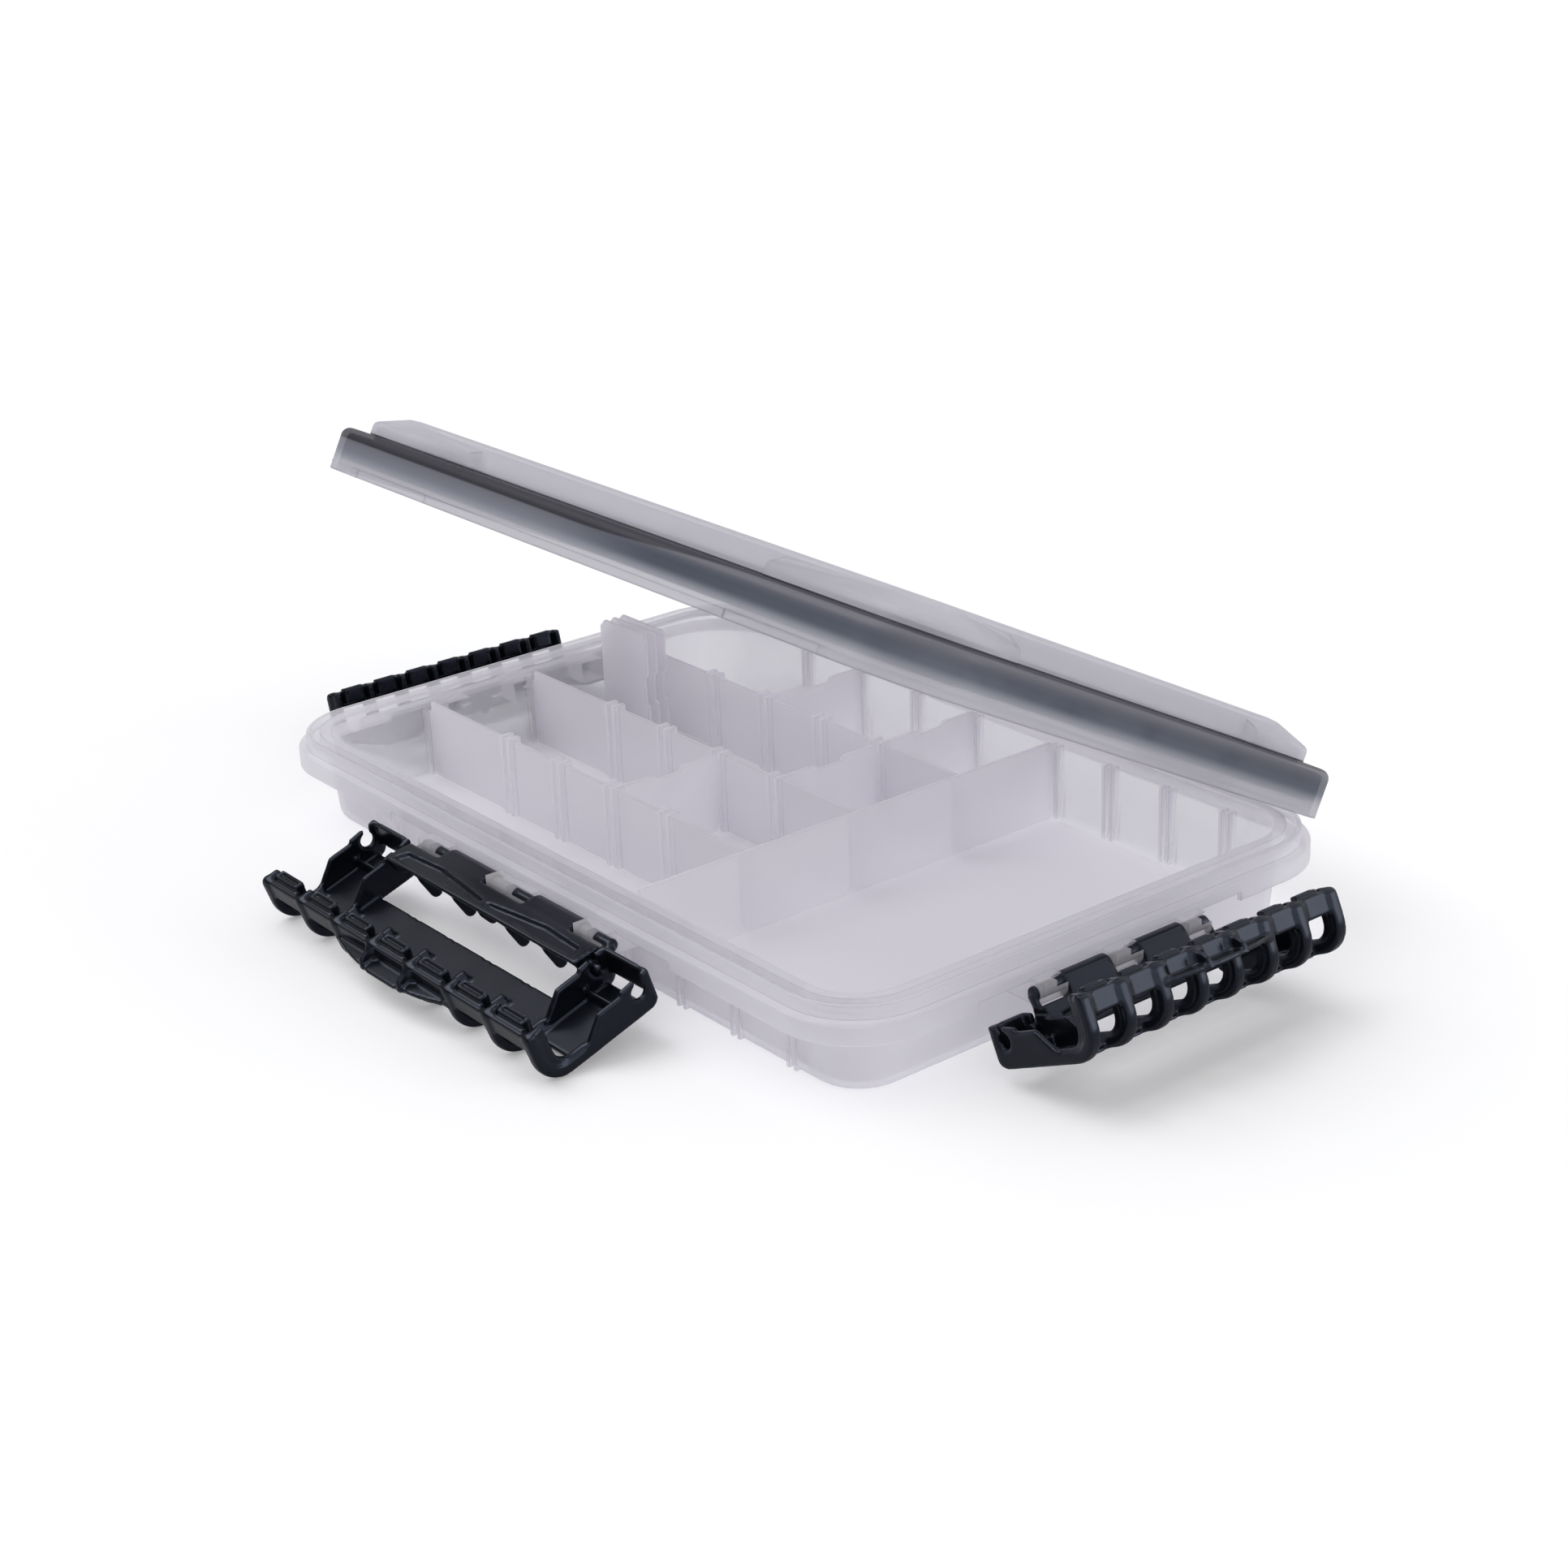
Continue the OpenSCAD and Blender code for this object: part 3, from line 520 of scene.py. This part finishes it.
def addHookRims(bm, node, p):
    handle = handles[node.split("_")[0]]
    place = (
        Matrix.Translation(jointOf(node)["pos_m"])
        @ Matrix.Rotation(radians(handle["turn"]), 4, "Z")
        @ Matrix.Rotation(radians(-handle["raised"]), 4, "Y")
    )
    middles, pitch, _ = ribRow(node, latchSkin)
    half = p["share"] * pitch / 2
    (u0, u1), v0, v1, t = p["u"], p["low"], handle["rimTop"], p["wall"]
    gaps = len(middles) - 1
    for i in range(gaps):
        y = (i - (gaps - 1) / 2) * pitch
        addBlock(bm, place, (u0, y - half, v0), (u0 + t, y + half, v1))
        addBlock(bm, place, (u1 - t, y - half, v0), (u1, y + half, v1))
        addBlock(bm, place, (u0, y - half, v0), (u1, y - half + t, v1))
        addBlock(bm, place, (u0, y + half - t, v0), (u1, y + half, v1))


def applyModifiers(piece):
    view = bpy.context.evaluated_depsgraph_get()
    view.update()
    mesh = bpy.data.meshes.new_from_object(piece.evaluated_get(view))
    piece.modifiers.clear()
    old = piece.data
    piece.data = mesh
    bpy.data.meshes.remove(old)


def smoothed(bm, verts, times):
    for _ in range(times):
        bmesh.ops.smooth_vert(bm, verts=verts, factor=0.5, use_axis_x=True, use_axis_y=True, use_axis_z=True)


def mouldedLatch(node, p):
    bm = cleanCopy(node, cleaning)
    if node.endswith("handle"):
        addHookRims(bm, node, hookRim)
    piece = meshObject(bm, node + "_moulded")
    remesh = piece.modifiers.new("remesh", "REMESH")
    remesh.mode = "VOXEL"
    remesh.voxel_size = p["voxel"]
    applyModifiers(piece)
    bm = bmesh.new()
    bm.from_mesh(piece.data)
    smoothed(bm, bm.verts, p["smoothing"])
    if node.endswith("handle"):
        middles, _, axis = ribRow(node, p)
        edges = [m + side * p["ribWidth"] / 2 for m in middles for side in (-1, 1)]
        near = [v for v in bm.verts if min(abs(v.co[axis] - e) for e in edges) < p["ribReach"]]
        smoothed(bm, near, p["ribSmoothing"])
    bm.to_mesh(piece.data)
    bm.free()
    shadeSmooth(piece)
    return finishPiece(piece, node, black)


for side in ("front", "left", "right"):
    for part in ("link", "handle"):
        latchPiece = mouldedLatch(side + "_" + part, latchSkin)
        print(latchPiece.name, len(latchPiece.data.polygons), "faces")
print("latches moulded")

# The box's own mouldings keep their shape, and the small ones get a rounded edge.
boxEdge = {"width": 0.35 * mm, "angle": 35, "segments": 2, "smoothAngle": 32}


def mouldedShell(node, material, bevel=True):
    p = boxEdge
    bm = cleanCopy(node, cleaning)
    if bevel:
        sharp = [e for e in bm.edges if len(e.link_faces) == 2 and e.calc_face_angle(0) > radians(p["angle"])]
        bmesh.ops.bevel(bm, geom=sharp, offset=p["width"], segments=p["segments"], profile=0.5,
                        affect="EDGES", clamp_overlap=True, material=-1)
    piece = meshObject(bm, node + "_moulded")
    shadeSmooth(piece)
    piece.data.set_sharp_from_angle(angle=radians(p["smoothAngle"]))
    return finishPiece(piece, node, material)


# A low bead runs round the skirt above its lower edge, and fades out towards the hinge.
skirtBead = {
    "height": 35.2 * mm,
    "half": 0.45 * mm,
    "proud": 0.3 * mm,
    "fade": (80 * mm, 98 * mm),
    "tolerance": 0.02 * mm,
    "upright": 0.9,       # the least horizontal share of the normal of the skirt's outside
}


def addSkirtBead(piece, p):
    toClosed = closedLid()
    bm = bmesh.new()
    bm.from_mesh(piece.data)
    bmesh.ops.transform(bm, matrix=toClosed, verts=bm.verts)
    for z in (p["height"] - p["half"], p["height"], p["height"] + p["half"]):
        bmesh.ops.bisect_plane(bm, geom=bm.verts[:] + bm.edges[:] + bm.faces[:], dist=p["tolerance"] / 2,
                               plane_co=(0, 0, z), plane_no=(0, 0, 1))
    bm.normal_update()
    fadeFrom, fadeTo = p["fade"]
    for v in bm.verts:
        outward = Vector((v.normal.x, v.normal.y, 0))
        onBead = abs(v.co.z - p["height"]) < p["tolerance"]
        if onBead and outward.length > p["upright"] and outward.dot(v.co) > 0:
            left = (fadeTo - v.co.y) / (fadeTo - fadeFrom)
            v.co += outward.normalized() * p["proud"] * min(max(left, 0), 1)
    bmesh.ops.transform(bm, matrix=toClosed.inverted(), verts=bm.verts)
    bm.to_mesh(piece.data)
    bm.free()
    shadeSmooth(piece)
    piece.data.set_sharp_from_angle(angle=radians(boxEdge["smoothAngle"]))


mouldedShell("tray", trayPp, bevel=False)
addSkirtBead(mouldedShell("lid", lidPpShadedCopy, bevel=False), skirtBead)
mouldedShell("lid_seal", rubber, bevel=False)
for node in nodes:
    if "divider" in node or node == "bay_wall":
        mouldedShell(node, dividerPpLitCopy)
    if node.startswith("hinge_pin"):
        mouldedShell(node, steel)
print("shells moulded")

studio = {
    "floor": 8.0,          # half its side, in metres
    "below": 0.2 * mm,
    "paper": "#F6F6F8",
    "mirrored": 0.45,      # how bright the paper is in a reflection
    "whiteLift": 0.2,      # the share of the paper's white that shows in full shade
    "worldLight": 0.66,
    "brightSide": (0.55, 0.45, 0.7),   # reflections are bright from here and dark from the other side
    "turnOver": (-0.3, 0.8),           # cosines to that side between which they change
    "darkGloss": 0.15,
    "brightGloss": 1.0,
}


def addFloor(p):
    bm = bmesh.new()
    bmesh.ops.create_grid(bm, x_segments=1, y_segments=1, size=p["floor"])
    bmesh.ops.translate(bm, verts=bm.verts, vec=(0, 0, -p["below"]))
    floor = meshObject(bm, "floor")
    material, tree = newMaterial("white paper floor")
    paperColour = linear(p["paper"])
    rays = addNode(tree, "ShaderNodeLightPath")
    dim = addNode(tree, "ShaderNodeMix", {
        "data_type": "RGBA", 6: paperColour, 7: dimmed(paperColour, p["mirrored"])}, {
        0: rays.outputs["Is Glossy Ray"]})
    paper = addNode(tree, "ShaderNodeBsdfDiffuse", links={"Color": dim.outputs[2]})
    lift = addNode(tree, "ShaderNodeEmission", {"Color": (1, 1, 1, 1), "Strength": 1.0})
    seen = addNode(tree, "ShaderNodeMath", {"operation": "MAXIMUM"}, {
        0: rays.outputs["Is Camera Ray"], 1: rays.outputs["Is Transmission Ray"]})
    share = addNode(tree, "ShaderNodeMath", {"operation": "MULTIPLY", 1: p["whiteLift"]}, {
        0: seen.outputs[0]})
    both = addNode(tree, "ShaderNodeMixShader", links={
        0: share.outputs[0], 1: paper.outputs[0], 2: lift.outputs[0]})
    addNode(tree, "ShaderNodeOutputMaterial", links={"Surface": both.outputs[0]})
    floor.data.materials.append(material)


def addWorld(p):
    world = bpy.data.worlds.new("studio")
    scene.world = world
    world.use_nodes = True
    tree = world.node_tree
    tree.nodes.clear()
    place = addNode(tree, "ShaderNodeTexCoord")
    towards = addNode(tree, "ShaderNodeVectorMath", {
        "operation": "DOT_PRODUCT", 1: Vector(p["brightSide"]).normalized()}, {0: place.outputs["Generated"]})
    gloss = addNode(tree, "ShaderNodeMapRange", {
        "From Min": p["turnOver"][0], "From Max": p["turnOver"][1],
        "To Min": p["darkGloss"], "To Max": p["brightGloss"]}, {"Value": towards.outputs["Value"]})
    rays = addNode(tree, "ShaderNodeLightPath")
    strength = addNode(tree, "ShaderNodeMix", {"data_type": "FLOAT", 2: p["worldLight"]}, {
        0: rays.outputs["Is Glossy Ray"], 3: gloss.outputs["Result"]})
    light = addNode(tree, "ShaderNodeBackground", {"Color": (1, 1, 1, 1)}, {"Strength": strength.outputs[0]})
    white = addNode(tree, "ShaderNodeBackground", {"Color": (1, 1, 1, 1), "Strength": 1.0})
    both = addNode(tree, "ShaderNodeMixShader", links={
        0: rays.outputs["Is Camera Ray"], 1: light.outputs[0], 2: white.outputs[0]})
    addNode(tree, "ShaderNodeOutputWorld", links={"Surface": both.outputs[0]})


# Large soft lights far away, so that the whole floor is evenly lit.
lamps = {
    "key": {"from": (-0.55, -0.35, 1.0), "strength": 1.4, "spread": 50},
    "side": {"from": (1.0, -0.2, 0.55), "strength": 0.2, "spread": 40},
    "rim": {"from": (0.76, 0.56, 0.33), "strength": 0.6, "spread": 35},
}


def addLamp(name, p):
    data = bpy.data.lights.new(name, "SUN")
    data.energy = p["strength"]
    data.angle = radians(p["spread"])
    lamp = bpy.data.objects.new(name, data)
    scene.collection.objects.link(lamp)
    lamp.matrix_world = (-Vector(p["from"])).to_track_quat("-Z", "Y").to_matrix().to_4x4()


addFloor(studio)
addWorld(studio)
for name, lamp in lamps.items():
    addLamp(name, lamp)
scene.view_settings.view_transform = "Standard"
print("studio lit")
